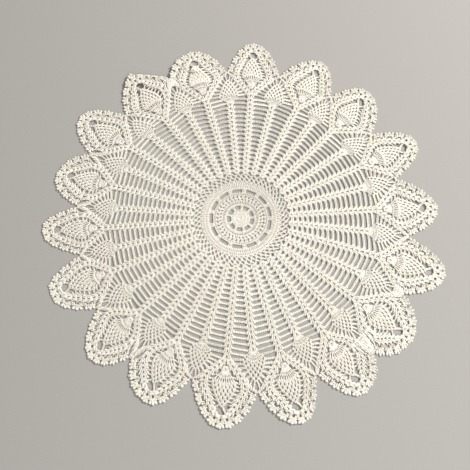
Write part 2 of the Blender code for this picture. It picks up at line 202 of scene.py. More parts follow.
def ground_lift(place):
    """How far the underside is off the table at each place."""
    lift = np.zeros(len(place))
    for count, crest, share in WAVES:
        lift += WAVE_HEIGHT * share * (0.5 + 0.5 * np.cos(count * (np.angle(place) - math.radians(crest))))
    lift *= smooth((np.abs(place) - WAVE_START) / (REACH - WAVE_START))
    for from_radius, from_bearing, to_radius, to_bearing, height, left_width, right_width in CREASE_ROWS:
        start, end = polar(from_radius, from_bearing), polar(to_radius, to_bearing)
        length = abs(end - start)
        local = (place - start) * np.conj((end - start) / length)
        run = np.clip(local.real, 0.0, length)
        width = np.where(local.imag > 0.0, left_width, right_width)
        arch = 1.0 - (2.0 * run / length - 1.0) ** 2
        lift += height * arch * smooth(1.0 - np.abs(local - run) / width)
    depth, run = frame_of_tuck(place)
    past = np.maximum(np.maximum(-run, run - TUCK_LENGTH), 0.0)
    rise = smooth((TUCK_RISE + depth) / (TUCK_RISE - TUCK_LEVEL)) * smooth(1.0 - past / TUCK_FADE)
    return lift * (1.0 - rise) + (TUCK_CLEAR + 2 * TUCK_RADIUS) * rise


def flattened(heights):
    """Heights above the table, for thread that flattens where it rests."""
    sunk = np.minimum(heights - REST_LEVEL, 0.0)
    return np.where(heights > REST_LEVEL, heights, REST_LEVEL * np.exp(sunk / REST_LEVEL))


def settle(points):
    """Points of the even lace, with their height above its underside, where they lie on the table."""
    x, y = warp(points[:, 0], points[:, 1])
    place, height = x + 1j * y, points[:, 2]
    near_tip = smooth(1.0 - np.abs(place - TUCK_TIP) / TUCK_PULL_WIDTH)
    place += TUCK_PULL * TUCK_TIP / abs(TUCK_TIP) * near_tip
    depth, run = frame_of_tuck(place)
    flap = (depth > 0.0) & (run > -TUCK_FADE) & (run < TUCK_LENGTH)
    angle = math.pi * np.clip(depth / TUCK_BEND, 0.0, 1.0)
    reach = TUCK_RADIUS + height
    turned = place - TUCK_OUT * depth
    turned += TUCK_OUT * (reach * np.sin(angle) - np.maximum(depth - TUCK_BEND, 0.0))
    top = np.where(flap, TUCK_CLEAR + TUCK_RADIUS + reach * np.cos(angle), ground_lift(place) + height)
    place = np.where(flap, turned, place)
    return np.column_stack((place.real, place.imag, flattened(top)))


print("creases:", len(CREASE_ROWS), "and waves round the rim:", [count for count, _, _ in WAVES])

# %% [markdown]
# ## Cotton
# The thread is mercerised cotton in ecru: a pale, slightly yellow off-white that is a little darker where it
# has been handled, with a soft sheen from its fine fibres. A tiled texture would repeat, so the material is
# made of noise in the doily's own coordinates: its colour drifts slowly over the whole piece, and no two
# stitches are alike. Maths in node trees is written as Python expressions, with a small class that adds the
# Math nodes.


# %% A socket that understands arithmetic
class Socket:
    """An output of a node, for use in an expression, in a material or in Geometry Nodes."""

    def __init__(self, tree, output):
        self.tree = tree
        self.output = output

    def math(self, operation, first, second):
        return node(self.tree, "ShaderNodeMath", {"operation": operation}, {0: first, 1: second})

    def __add__(self, other):
        return self.math("ADD", self, other)

    def __radd__(self, other):
        return self.math("ADD", other, self)

    def __sub__(self, other):
        return self.math("SUBTRACT", self, other)

    def __rsub__(self, other):
        return self.math("SUBTRACT", other, self)

    def __mul__(self, other):
        return self.math("MULTIPLY", self, other)

    def __rmul__(self, other):
        return self.math("MULTIPLY", other, self)


def node(tree, kind, settings=None, values=None, output=0):
    """A node: its settings, then its values or links, a list being several links; one output comes back."""
    made = tree.nodes.new(kind)
    for name, value in (settings or {}).items():
        setattr(made, name, value)
    for name, value in (values or {}).items():
        for one in value if isinstance(value, list) else [value]:
            if isinstance(one, Socket):
                tree.links.new(one.output, made.inputs[name])
            else:
                made.inputs[name].default_value = one
    return Socket(tree, made.outputs[output])


def mix_colours(tree, factor, first, second):
    """One colour over another: these are the colour sockets of a Mix node."""
    return node(tree, "ShaderNodeMix", {"data_type": "RGBA"}, {0: factor, 6: first, 7: second}, 2)


def noise(tree, place, scale, detail):
    return node(tree, "ShaderNodeTexNoise", None, {"Vector": place, "Scale": scale, "Detail": detail})


# %% The cotton's finish
ECRU = (0.860, 0.815, 0.725, 1.0)
BLEACHED = (0.905, 0.875, 0.815, 1.0)
HANDLED = (0.790, 0.725, 0.600, 1.0)
DRIFT_SCALE = 9.0       # patches of colour per metre
DRIFT_CONTRAST, DRIFT_SHIFT = 1.4, 0.2
GRAIN_SCALE = 90.0      # small handled patches per metre
GRAIN_CONTRAST, GRAIN_SHIFT = 0.9, 0.25
FIBRE_SCALE = 1500.0    # fibres per metre
FIBRE_RELIEF = 0.06 * MM
FIBRE_STRENGTH = 0.6
LEAST_ROUGHNESS, MORE_ROUGHNESS = 0.72, 0.2
SHEEN = {"Sheen Weight": 0.25, "Sheen Roughness": 0.5, "Specular IOR Level": 0.35}


def cotton():
    """Ecru cotton: slow drift of colour, fine fibres in the relief, a soft sheen."""
    material = bpy.data.materials.new("ecru_cotton")
    material.use_nodes = True
    tree = material.node_tree
    shader = tree.nodes["Principled BSDF"]
    place = node(tree, "ShaderNodeTexCoord", output="Object")
    drift = noise(tree, place, DRIFT_SCALE, 2.0)
    grain = noise(tree, place, GRAIN_SCALE, 3.0)
    fibre = noise(tree, place, FIBRE_SCALE, 4.0)
    pale = mix_colours(tree, drift * DRIFT_CONTRAST - DRIFT_SHIFT, ECRU, BLEACHED)
    colour = mix_colours(tree, grain * GRAIN_CONTRAST - GRAIN_SHIFT, pale, HANDLED)
    relief = node(tree, "ShaderNodeBump", None,
                  {"Strength": FIBRE_STRENGTH, "Distance": FIBRE_RELIEF, "Height": fibre}, "Normal")
    roughness = LEAST_ROUGHNESS + grain * MORE_ROUGHNESS
    for name, value in (("Base Color", colour), ("Roughness", roughness), ("Normal", relief)):
        tree.links.new(value.output, shader.inputs[name])
    for name, value in SHEEN.items():
        shader.inputs[name].default_value = value
    return material


COTTON = cotton()
print("finish:", COTTON.name, "with", len(COTTON.node_tree.nodes), "nodes")

# %% [markdown]
# ## Two stitches
# A tall stitch stands between two rounds: the thread is wrapped round itself, so it looks like a short piece
# of two-ply cord. A chain stitch is a loop pulled through the loop before it: from above, two limbs that
# start close together, swell and close again over the next one. A texture on a flat sheet would be quicker,
# but it has no real holes. So both are made once, as curves with a profile, and a point cloud says where each
# copy goes, which way it turns and how long and wide it is.

# %% A little kit for Geometry Nodes
TALL_LENGTH = 4.6 * MM
TALL_WIDTH = 1.75 * MM
SHELL_WIDTH = 2.3 * MM  # a fuller tall stitch, where a round must be close
LINK_LENGTH = 2.2 * MM
LINK_WIDTH = 2.0 * MM
HEAD_WIDTH = 0.9 * LINK_WIDTH  # the links across the heads of tall stitches
SEED = 7


class Tree:
    """A Geometry Nodes group with named inputs."""

    def __init__(self, name, inputs):
        self.group = bpy.data.node_groups.new(name, "GeometryNodeTree")
        plugs = self.group.interface
        plugs.new_socket("Geometry", in_out="INPUT", socket_type="NodeSocketGeometry")
        self.identifiers = {}
        for label, kind, value in inputs:
            socket = plugs.new_socket(label, in_out="INPUT", socket_type=kind)
            self.identifiers[label] = (socket.identifier, value)
        plugs.new_socket("Geometry", in_out="OUTPUT", socket_type="NodeSocketGeometry")
        self.entry = self.group.nodes.new("NodeGroupInput")
        self.exit = self.group.nodes.new("NodeGroupOutput")

    def given(self, label):
        return Socket(self.group, self.entry.outputs[label])

    def add(self, kind, settings=None, values=None):
        return node(self.group, kind, settings, values)

    def vector(self, x, y, z):
        return self.add("ShaderNodeCombineXYZ", None, {0: x, 1: y, 2: z})

    def finish(self, geometry):
        self.group.links.new(geometry.output, self.exit.inputs[0])


COMMON_INPUTS = [
    ("Slack", "NodeSocketFloat", 0.12 * MM),    # how far a stitch may be out of place
    ("Sway", "NodeSocketFloat", 0.07),          # how far it may be turned, in radians
    ("Pull", "NodeSocketFloat", 0.06),          # how much its size may differ
    ("Seed", "NodeSocketInt", SEED),
    ("Material", "NodeSocketMaterial", COTTON),
]


def place_copies(tree, shape):
    """Puts the shape on every point, a little unevenly, and ends the tree."""

    def shake(label, seed_step):
        """A random vector of up to this input's amount."""
        amount = tree.given(label)
        low = amount * -1.0
        return tree.add("FunctionNodeRandomValue", {"data_type": "FLOAT_VECTOR"}, {
            0: tree.vector(low, low, low), 1: tree.vector(amount, amount, amount),
            "Seed": tree.given("Seed") + float(seed_step)})

    def stored(name):
        return tree.add("GeometryNodeInputNamedAttribute", {"data_type": "FLOAT_VECTOR"}, {"Name": name})

    def combine(operation, first, second):
        return tree.add("ShaderNodeVectorMath", {"operation": operation}, {0: first, 1: second})

    points = tree.add("GeometryNodeSetPosition", None,
                      {"Geometry": tree.given("Geometry"), "Offset": shake("Slack", 1)})
    turned = combine("ADD", stored("turn"), shake("Sway", 2))
    sized = combine("MULTIPLY", stored("size"), combine("ADD", (1.0, 1.0, 1.0), shake("Pull", 3)))
    copies = tree.add("GeometryNodeInstanceOnPoints", None,
                      {"Points": points, "Instance": shape, "Rotation": turned, "Scale": sized})
    whole = tree.add("GeometryNodeRealizeInstances", None, {"Geometry": copies})
    soft = tree.add("GeometryNodeSetShadeSmooth", None, {"Geometry": whole})
    tree.finish(tree.add("GeometryNodeSetMaterial", None,
                         {"Geometry": soft, "Material": tree.given("Material")}))


def thread_along(tree, curve, radius):
    """A closed three-sided thread along a curve: smooth shading rounds it off."""
    profile = tree.add("GeometryNodeCurvePrimitiveCircle", None, {"Resolution": 3, "Radius": radius})
    return tree.add("GeometryNodeCurveToMesh", None,
                    {"Curve": curve, "Profile Curve": profile, "Fill Caps": True})


# %% The tall stitch: two plies round each other
PLY_OFFSET = 0.21       # how far a ply's middle is from the stitch's, as a share of its width
PLY_RADIUS = 0.33       # in the same measure
PLY_STEPS = 4           # straight stretches in one wrap


def tall_stitch_tree():
    tree = Tree("tall stitches", [
        ("Length", "NodeSocketFloat", TALL_LENGTH),
        ("Width", "NodeSocketFloat", TALL_WIDTH),
        ("Wraps", "NodeSocketFloat", 1.0),
        *COMMON_INPUTS,
    ])
    length, width = tree.given("Length"), tree.given("Width")
    helix = tree.add("GeometryNodeCurveSpiral", None, {
        "Resolution": PLY_STEPS, "Rotations": tree.given("Wraps"), "Height": length,
        "Start Radius": width * PLY_OFFSET, "End Radius": width * PLY_OFFSET})
    ply = thread_along(tree, helix, width * PLY_RADIUS)
    other = tree.add("GeometryNodeTransform", None, {"Geometry": ply, "Rotation": (0.0, 0.0, math.pi)})
    both = tree.add("GeometryNodeJoinGeometry", None, {"Geometry": [ply, other]})
    place_copies(tree, tree.add("GeometryNodeTransform", None, {
        "Geometry": both, "Rotation": (0.0, math.pi / 2, 0.0),
        "Translation": tree.vector(length * -0.5, 0, 0)}))
    return tree


# %% The chain stitch: two limbs that open and close
# A limb's start, middle and end: along as a share of the length, then across and up as shares of the width.
LIMB_PLACES = (("Start", -0.62, 0.10, -0.16), ("Middle", 0.10, 0.50, 0.26), ("End", 0.62, 0.10, -0.02))
LIMB_RADIUS = 0.30
LIMB_STEPS = 3


def chain_stitch_tree():
    tree = Tree("chain stitches", [
        ("Length", "NodeSocketFloat", LINK_LENGTH),
        ("Width", "NodeSocketFloat", LINK_WIDTH),
        *COMMON_INPUTS,
    ])
    length, width = tree.given("Length"), tree.given("Width")
    limbs = []
    for side in (-1.0, 1.0):
        curve = tree.add("GeometryNodeCurveQuadraticBezier", None, {
            name: tree.vector(length * along, width * (across * side), width * up)
            for name, along, across, up in LIMB_PLACES})
        curve = tree.add("GeometryNodeResampleCurve", None, {"Curve": curve, "Count": LIMB_STEPS})
        limbs.append(thread_along(tree, curve, width * LIMB_RADIUS))
    place_copies(tree, tree.add("GeometryNodeJoinGeometry", None, {"Geometry": limbs}))
    return tree


TALL = tall_stitch_tree()
CHAIN = chain_stitch_tree()
print("nodes:", len(TALL.group.nodes), "for a tall stitch,", len(CHAIN.group.nodes), "for a chain stitch")

# %% [markdown]
# ## Writing a round down
# A crochet pattern is a list of stitches, and so is this. A piece of work collects its stitches: tall ones
# from a foot to a head, with the small loop that lies across a head, and chains along a curve. Each list then
# goes through its tree of nodes in one step, which is much quicker than an object for every stitch.

# %% A piece of work
TALL_MIDDLE = 0.95 * MM  # height of a tall stitch's middle above the underside
HEAD_MIDDLE = 1.15 * MM
CHAIN_MIDDLE = 0.85 * MM
CHAIN_STEPS = 24        # straight stretches for measuring a curved chain


def add_object(name, data):
    made = bpy.data.objects.new(name, data)
    bpy.context.scene.collection.objects.link(made)
    return made


class Work:
    """The stitches of one piece, each as (start, end, height of its middle, width)."""

    def __init__(self, name):
        self.name = name
        self.tall = []
        self.links = []

    def __str__(self):
        return f"{self.name}: {len(self.tall)} tall stitches, {len(self.links)} links"

    def add_tall(self, foot, head, width=TALL_WIDTH, lift=0.0, headed=True):
        self.tall.append((foot, head, TALL_MIDDLE + lift, width))
        if headed:
            side = (head - foot) / abs(head - foot) * 1j * LINK_LENGTH / 2
            self.links.append((head - side, head + side, HEAD_MIDDLE + lift, HEAD_WIDTH))

    def add_chain(self, start, end, bow=0.0, width=LINK_WIDTH, lift=0.0, flare=1.0):
        """Links from start to end. The middle swings out by bow to the left, and the end links are flared."""
        control = (start + end) / 2 + (end - start) / abs(end - start) * 1j * 2 * bow
        steps = np.arange(CHAIN_STEPS + 1)
        line = [start * (1 - t) ** 2 + 2 * control * t * (1 - t) + end * t * t
                for t in (step / CHAIN_STEPS for step in range(CHAIN_STEPS + 1))]
        run = np.concatenate(([0.0], np.cumsum(np.abs(np.diff(line)))))
        count = max(1, round(run[-1] / LINK_LENGTH))
        marks = np.interp(np.linspace(0.0, run[-1], count + 1), run, steps)
        places = np.interp(marks, steps, np.real(line)) + 1j * np.interp(marks, steps, np.imag(line))
        for number, (first, second) in enumerate(zip(places[:-1], places[1:])):
            wide = flare if number in (0, count - 1) else 1.0
            self.links.append((first, second, CHAIN_MIDDLE + lift, width * wide))


def stitched(rows, tree, name):
    """A mesh of all stitches in rows, made by a tree of nodes."""
    starts, ends, heights, widths = (np.array([row[number] for row in rows]) for number in range(4))
    middles, none = (starts + ends) / 2, np.zeros(len(rows))
    longer = np.abs(ends - starts) / tree.identifiers["Length"][1]
    wider = widths / tree.identifiers["Width"][1]
    mesh = bpy.data.meshes.new(name)
    mesh.vertices.add(len(rows))
    mesh.vertices.foreach_set("co", np.column_stack((middles.real, middles.imag, heights)).ravel())
    for label, columns in (("turn", (none, none, np.angle(ends - starts))), ("size", (longer, wider, wider))):
        layer = mesh.attributes.new(label, "FLOAT_VECTOR", "POINT")
        layer.data.foreach_set("vector", np.column_stack(columns).ravel())
    holder = add_object(name, mesh)
    modifier = holder.modifiers.new("stitches", "NODES")
    modifier.node_group = tree.group
    for identifier, value in tree.identifiers.values():
        modifier[identifier] = value
    evaluated = holder.evaluated_get(bpy.context.evaluated_depsgraph_get())
    made = bpy.data.meshes.new_from_object(evaluated)
    bpy.data.objects.remove(holder)
    bpy.data.meshes.remove(mesh)
    return made


def column(items, label, kind, wide=1):
    """One property of a mesh's points, corners or faces, as an array."""
    values = np.empty(len(items) * wide, dtype=kind)
    items.foreach_get(label, values)
    return values


def arrays_of(mesh):
    """Points and faces of a mesh: every face's corners run on from the last's."""
    return (column(mesh.vertices, "co", float, 3).reshape(-1, 3),
            column(mesh.loops, "vertex_index", np.int32), column(mesh.polygons, "loop_start", np.int32))


def make_piece(work):
    """Turns the written rounds into one mesh and lays it down."""
    tall = arrays_of(stitched(work.tall, TALL, work.name + "_tall"))
    links = arrays_of(stitched(work.links, CHAIN, work.name + "_links"))
    points = settle(np.vstack((tall[0], links[0])))
    corners = np.concatenate((tall[1], links[1] + len(tall[0])))
    starts = np.concatenate((tall[2], links[2] + len(tall[1])))
    mesh = bpy.data.meshes.new(work.name)
    for items, label, values in ((mesh.vertices, "co", points), (mesh.loops, "vertex_index", corners),
                                 (mesh.polygons, "loop_start", starts)):
        items.add(len(values))
        items.foreach_set(label, values.ravel())
    mesh.polygons.foreach_set("use_smooth", np.ones(len(starts), dtype=bool))
    mesh.update(calc_edges=True)
    mesh.materials.append(COTTON)
    add_plan_map(mesh, points)
    piece = add_object(work.name, mesh)
    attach(piece, "root")
    print(work.name, "has", len(corners) - 2 * len(starts), "triangles")
    return piece


# %% [markdown]
# The lace gets its own flat map, seen from above and leaned over slightly, so that upright faces have some
# width on it too. Threads above one another share their part of it, which does no harm, because the colour
# changes slowly from place to place.

# %% A map seen from above
MAP_HALF = 250.0 * MM
MAP_LEAN = (0.3, 0.2)


def add_plan_map(mesh, points):
    layer = mesh.uv_layers.new(name="OFBake")
    spots = points[column(mesh.loops, "vertex_index", np.int32)]
    across = (spots[:, 0] + MAP_LEAN[0] * spots[:, 2]) / (2 * MAP_HALF) + 0.5
    along = (spots[:, 1] + MAP_LEAN[1] * spots[:, 2]) / (2 * MAP_HALF) + 0.5
    layer.uv.foreach_set("vector", np.column_stack((across, along)).ravel())


print("the map covers", round(2 * MAP_HALF, 3), "m each way")

# %% [markdown]
# ## The middle
# The doily starts with a small ring and two rounds of tall stitches. Then come nine arches on nine bars, a
# close ring, rounds of slanted pairs with slits between them, thirteen wide arches, two close rounds and a
# fine net of small loops. A function for each kind of round keeps its stitches evenly spaced, and the calls
# below it read like the pattern itself, from the ring outwards.

# %% Rounds of the centre medallion
SMALL_ARCHES = 9
SMALL_ARCH_FIRST = 24.0
WIDE_ARCHES = 13
WIDE_ARCH_FIRST = 13.9
NET_LOOPS = 54
NET_RADII = in_mm((46.6, 50.5, 54.4, 58.2))
NET_WIDTH = 2.0 * MM
NET_BOW = 0.35 * MM
NET_LEAN = 0.7          # where a loop's crest is, as a share of its own width

centre = Work("centre_medallion")


def round_of_tall(work, groups, inner, outer, first=0.0, stitches=1, spread=0.0, lean=0.0, width=TALL_WIDTH):
    """Tall stitches in even groups: a group's spread, and the lean of every head, are in degrees."""
    for group in range(groups):
        for stitch in range(stitches):
            bearing = first + group * 360.0 / groups + spread * ((stitch + 0.5) / stitches - 0.5)
            work.add_tall(polar(inner, bearing), polar(outer, bearing + lean), width)


def round_of_chain(work, radius, arcs):
    """A closed round of chain."""
    for arc in range(arcs):
        start, half = arc * 360.0 / arcs, 180.0 / arcs
        work.add_chain(polar(radius, start), polar(radius, start + 2 * half),
                       bow=-radius * (1.0 - math.cos(math.radians(half))))


def round_of_loops(work, count, inner, outer, first):
    """Small leaning loops of chain, each hooked into the crests of two loops below."""
    for loop in range(count):
        start = first + loop * 360.0 / count
        crest = polar(outer, start + NET_LEAN * 360.0 / count)
        work.add_chain(polar(inner, start), crest, NET_BOW, NET_WIDTH)
        work.add_chain(crest, polar(inner, start + 360.0 / count), NET_BOW, NET_WIDTH)


small_bars = SMALL_ARCH_FIRST + 180.0 / SMALL_ARCHES
wide_bars = WIDE_ARCH_FIRST + 180.0 / WIDE_ARCHES
# A round of tall stitches: how many, the inner radius, the outer radius.
round_of_chain(centre, 1.4 * MM, arcs=3)
round_of_tall(centre, 17, 1.7 * MM, 6.2 * MM, width=SHELL_WIDTH)
round_of_tall(centre, 32, 6.2 * MM, 10.4 * MM, first=4.0, width=SHELL_WIDTH)
round_of_tall(centre, SMALL_ARCHES, 10.6 * MM, 16.4 * MM, small_bars, stitches=2, spread=12.0)
round_of_chain(centre, 17.0 * MM, arcs=27)
round_of_tall(centre, 62, 17.2 * MM, 22.0 * MM)
round_of_tall(centre, 36, 22.2 * MM, 25.6 * MM, stitches=2, spread=6.6, lean=2.2)
round_of_tall(centre, 36, 25.8 * MM, 29.2 * MM, first=5.0, stitches=2, spread=6.4, lean=-2.2)
round_of_tall(centre, 90, 29.2 * MM, 32.0 * MM, first=1.0)
round_of_tall(centre, WIDE_ARCHES, 32.2 * MM, 37.4 * MM, wide_bars, stitches=3, spread=8.0)
round_of_chain(centre, 38.0 * MM, arcs=26)
round_of_tall(centre, 117, 38.2 * MM, 42.2 * MM, width=SHELL_WIDTH)
round_of_tall(centre, 130, 42.2 * MM, 46.0 * MM, first=1.2, width=SHELL_WIDTH)
for level, (inner, outer) in enumerate(zip(NET_RADII[:-1], NET_RADII[1:])):
    round_of_loops(centre, NET_LOOPS, inner, outer, level * NET_LEAN * 360.0 / NET_LOOPS)
print(centre)

# %% [markdown]
# ## Ribs and ladders
# Thirty-six ribs run outwards. In every round each rib gets a shell: two tall stitches, one chain and two
# tall stitches, fanned out from the chain of the shell before. Between the ribs is a plain bar of chain. It
# gets longer as the rounds widen, and so each pair of ribs holds a ladder of slots. One rib could be made and
# turned round the middle, but then all would be alike. Here every stitch is a little uneven.

# %% Shells up a rib, and bars between two ribs
RIBS = 36
RIB_PITCH = 360.0 / RIBS
RIB_FOOT = 57.4 * MM
FIRST_HEAD = 61.6 * MM
ROUND_RISE = 6.04 * MM
LADDER_ROUNDS = 15
RIB_HALF_AT_START = 3.9 * MM
RIB_HALF_AT_END = 4.9 * MM
RIB_LIFT = 0.35 * MM    # ribs stand a little proud of the bars
SHELL_FOOT = 0.2 * MM   # how far beyond the last head a shell's foot is
BAR_WIDTH = 2.7 * MM
BAR_BOW = 0.35 * MM     # how far the middle of a bar is pushed out
THIN_BAR_WIDTH = 2.0 * MM
BAR_OVERLAP = 1.0 * MM  # how far a bar reaches into the rib
BAR_FLARE = 1.5         # its first and last links are wider, where it is joined on
# As shares of a shell's half width: the feet and heads of its tall stitches, and half of the chain over them.
SHELL_PLACES = ((0.05, 0.43), (0.40, 0.87))
SHELL_REACH = 1.12
SHELL_BOW = 0.8 * MM    # how far that chain swings out, pulled by the next shell


def head_radius(level):
    return FIRST_HEAD + level * ROUND_RISE


def rib_half(radius):
    share = (radius - head_radius(0)) / (head_radius(LADDER_ROUNDS - 1) - head_radius(0))
    return RIB_HALF_AT_START + share * (RIB_HALF_AT_END - RIB_HALF_AT_START)


def add_shell(work, foot, head, half):
    """Two tall stitches on each side, fanned out from a foot towards a head, and a chain across the head."""
    along = (head - foot) / abs(head - foot)
    side = -1j * along * half
    for foot_place, head_place in SHELL_PLACES:
        for mirror in (-1, 1):
            work.add_tall(foot + side * mirror * foot_place, head + side * mirror * head_place,
                          SHELL_WIDTH, RIB_LIFT, headed=False)
    work.add_chain(head - side * SHELL_REACH, head + side * SHELL_REACH, SHELL_BOW, HEAD_WIDTH, RIB_LIFT)


def add_rib_round(ribs, bars, rib, level):
    """One round of one rib, and the bar to the next rib."""
    bearing = FIRST_PETAL + rib * RIB_PITCH
    radius = head_radius(level)
    foot_radius = RIB_FOOT if level == 0 else head_radius(level - 1) + SHELL_FOOT
    add_shell(ribs, polar(foot_radius, bearing), polar(radius, bearing), rib_half(radius))
    inset = math.degrees((rib_half(radius) - BAR_OVERLAP) / radius)
    bars.add_chain(polar(radius, bearing + inset), polar(radius, bearing + RIB_PITCH - inset),
                   bow=-BAR_BOW, width=BAR_WIDTH, flare=BAR_FLARE)


rib_work = Work("ladder_ribs")
bar_work = Work("ladder_bars")
for rib in range(RIBS):
    for level in range(LADDER_ROUNDS):
        add_rib_round(rib_work, bar_work, rib, level)
print(rib_work, bar_work, sep="\n")
print("ladder rounds end at", round(head_radius(LADDER_ROUNDS - 1) / MM, 1), "mm")

# %% [markdown]
# ## Pineapples
# A pineapple is a favourite figure in doilies. A fan of tall stitches is worked into one space, and above it
# come rounds of small loops, one fewer each time, so that the figure closes to a point. The inner ones grow
# on every second rib, and the outer ones sit in the petals. Crossing lines would look much like it from far
# off, but real loops start on the crests of the loops below. So one function hooks them together, from a
# table with a row for each round of loops.

# %% The pineapple
# A fan: how far out its foot is, the radii of two rings of stitches round it, half the angle of each ring and
# its number of stitches. A row of loops: how far out it is, and half its width.
INNER_FAN = (150.4 * MM, in_mm((2.6, 8.4, 13.4)), (52.0, 50.0), (8, 10))
INNER_LOOPS = in_mm((
    (164.8, 11.2),
    (168.4, 10.8),
    (171.9, 9.4),
    (175.3, 7.4),
    (178.6, 5.2),
    (181.8, 2.8),
))
OUTER_FAN = (175.0 * MM, in_mm((2.5, 9.2, 16.2)), (46.0, 43.0), (9, 9))
OUTER_LOOPS = in_mm((
    (191.6, 11.4),
    (195.8, 12.0),
    (200.0, 11.4),
    (203.8, 9.6),
    (207.4, 7.3),
    (210.9, 4.9),
    (214.1, 2.4),
))
INNER_WIDTH = 2.2 * MM
OUTER_WIDTH = 2.5 * MM
CREASED_PETAL = 5       # there the loops lie crowded
CREASED_WIDTH = 3.1 * MM
INNER_STEM = in_mm((146.4, 152.2, 4.4))  # foot, head and half width of the shell below a fan
OUTER_STEM = in_mm((173.0, 178.0, 4.0))
FAN_WIDTH = 1.95 * MM   # stitches of a pineapple's fan
ROW_DROP = 36.0 * MM    # how round the rows are: twice their radius of curvature
LOOP_BOW = 0.3 * MM
TOP_RISE = 2.6 * MM     # how far the last loop's crest is above its row


def row_point(loops, level, share):
    """A place along one row of loops, from -1 to 1, as (across, along)."""
    along, half = loops[level]
    across = half * share
    return across, along - across * across / ROW_DROP


def add_pineapple(work, axis, fan, loops, loop_width):
    def at(across, along):
        return on_bearing(axis, across, along)

    fan_foot, rings, angles, counts = fan
    for inner, outer, angle, count in zip(rings, rings[1:], angles, counts):
        for stitch in range(count):
            turn = math.radians(angle * (2 * (stitch + 0.5) / count - 1))
            foot, head = (at(ring * math.sin(turn), fan_foot + ring * math.cos(turn))
                          for ring in (inner, outer))
            work.add_tall(foot, head, FAN_WIDTH, RIB_LIFT / 2, headed=inner > rings[0])
    for level in range(len(loops)):
        number = len(loops) - level
        for loop in range(number):
            start = at(*row_point(loops, level, 2.0 * loop / number - 1.0))
            end = at(*row_point(loops, level, 2.0 * (loop + 1) / number - 1.0))
            if number > 1:
                crest = at(*row_point(loops, level + 1, 2.0 * loop / (number - 1) - 1.0))
            else:
                crest = at(0.0, loops[-1][0] + TOP_RISE)
            work.add_chain(start, crest, LOOP_BOW, loop_width)
            work.add_chain(crest, end, LOOP_BOW, loop_width)


inner_work = Work("inner_pineapples")
outer_work = Work("outer_pineapples")
for petal in range(PETALS):
    valley = petal_axis(petal) + PETAL_PITCH / 2
    outer_width = CREASED_WIDTH if petal == CREASED_PETAL else OUTER_WIDTH
    for work, axis, fan, loops, width, (foot, head, half) in (
            (inner_work, valley, INNER_FAN, INNER_LOOPS, INNER_WIDTH, INNER_STEM),
            (outer_work, petal_axis(petal), OUTER_FAN, OUTER_LOOPS, outer_width, OUTER_STEM)):
        add_shell(work, polar(foot, axis), polar(head, axis), half)
        add_pineapple(work, axis, fan, loops, width)
print(inner_work, outer_work, sep="\n")

# %% [markdown]
# ## The band round each petal
# Above the ladders, each petal's rib splits in two. Both halves carry on in shells, lean out to the valleys
# and come back to the tip, so that together they frame the outer pineapple. Bars of chain tie them to the
# pineapples on either side, and open out like a feather near the valleys. A bent copy of a straight rib would
# squeeze its stitches in the bend, so the shells are set at even steps along a smooth curve.

# %% Shells along the band
RIB_SPLIT_LEVEL = 17
BAND_SHELLS = 14
# Each row of the route: how far from the petal's axis, how far out, and the band's half width.
BAND_ROUTE = in_mm((
    (1.9, 164.4, 3.2),
    (5.4, 170.2, 4.1),
    (9.3, 174.2, 4.7),
    (13.8, 178.2, 4.9),
    (18.2, 183.2, 5.0),
    (21.1, 189.3, 4.9),
    (21.6, 195.8, 4.8),
    (20.0, 201.8, 4.6),
    (16.8, 207.5, 4.7),
    (13.9, 212.6, 4.7),
    (11.5, 217.2, 4.4),
    (9.2, 221.3, 3.6),
    (6.2, 225.2, 2.7),
    (1.2, 227.8, 2.0),
))
ROUTE_STEPS = 16        # straight stretches between two of these places
EDGE_SHARE = 0.85       # where bars meet the band, as a share of its half width
BAND_FOOT = 0.03        # how far past the last head a shell's foot is, as a share of the shell


def smooth_route(points, count):
    """Evenly spaced rows on a smooth curve through the points, as (across, along, half width)."""
    curve = []
    for index in range(len(points) - 1):
        around = [np.array(points[min(max(index + step, 0), len(points) - 1)]) for step in (-1, 0, 1, 2)]
        for step in range(ROUTE_STEPS):
            t = step / ROUTE_STEPS
            curve.append(0.5 * (2 * around[1] + (around[2] - around[0]) * t
                                + (2 * around[0] - 5 * around[1] + 4 * around[2] - around[3]) * t * t
                                + (3 * around[1] - around[0] - 3 * around[2] + around[3]) * t ** 3))
    curve = np.array(curve + [np.array(points[-1])])
    run = np.concatenate(([0.0], np.cumsum(np.hypot(*np.diff(curve[:, :2], axis=0).T))))
    marks = np.linspace(0.0, run[-1], count + 1)
    return np.column_stack([np.interp(marks, run, values) for values in curve.T])


BAND_STOPS = smooth_route(BAND_ROUTE, BAND_SHELLS)
print("a band's first and last stop, mm:", (BAND_STOPS[[0, -1], :2] / MM).round(1).tolist())


def inner_edge(stop):
    """The edge of the band that faces the outer pineapple, at one stop."""
    before, after = BAND_STOPS[max(stop - 1, 0)][:2], BAND_STOPS[min(stop + 1, BAND_SHELLS)][:2]
    along = (after - before) / np.hypot(*(after - before))
    normal = np.array((along[1], -along[0]))
    return BAND_STOPS[stop][:2] - normal * BAND_STOPS[stop][2] * EDGE_SHARE


def add_band(work, axis, mirror):
    for foot, head in zip(BAND_STOPS[:-1], BAND_STOPS[1:]):
        foot = foot + (head - foot) * BAND_FOOT
        add_shell(work, on_bearing(axis, mirror * foot[0], foot[1]),
                  on_bearing(axis, mirror * head[0], head[1]), head[2])


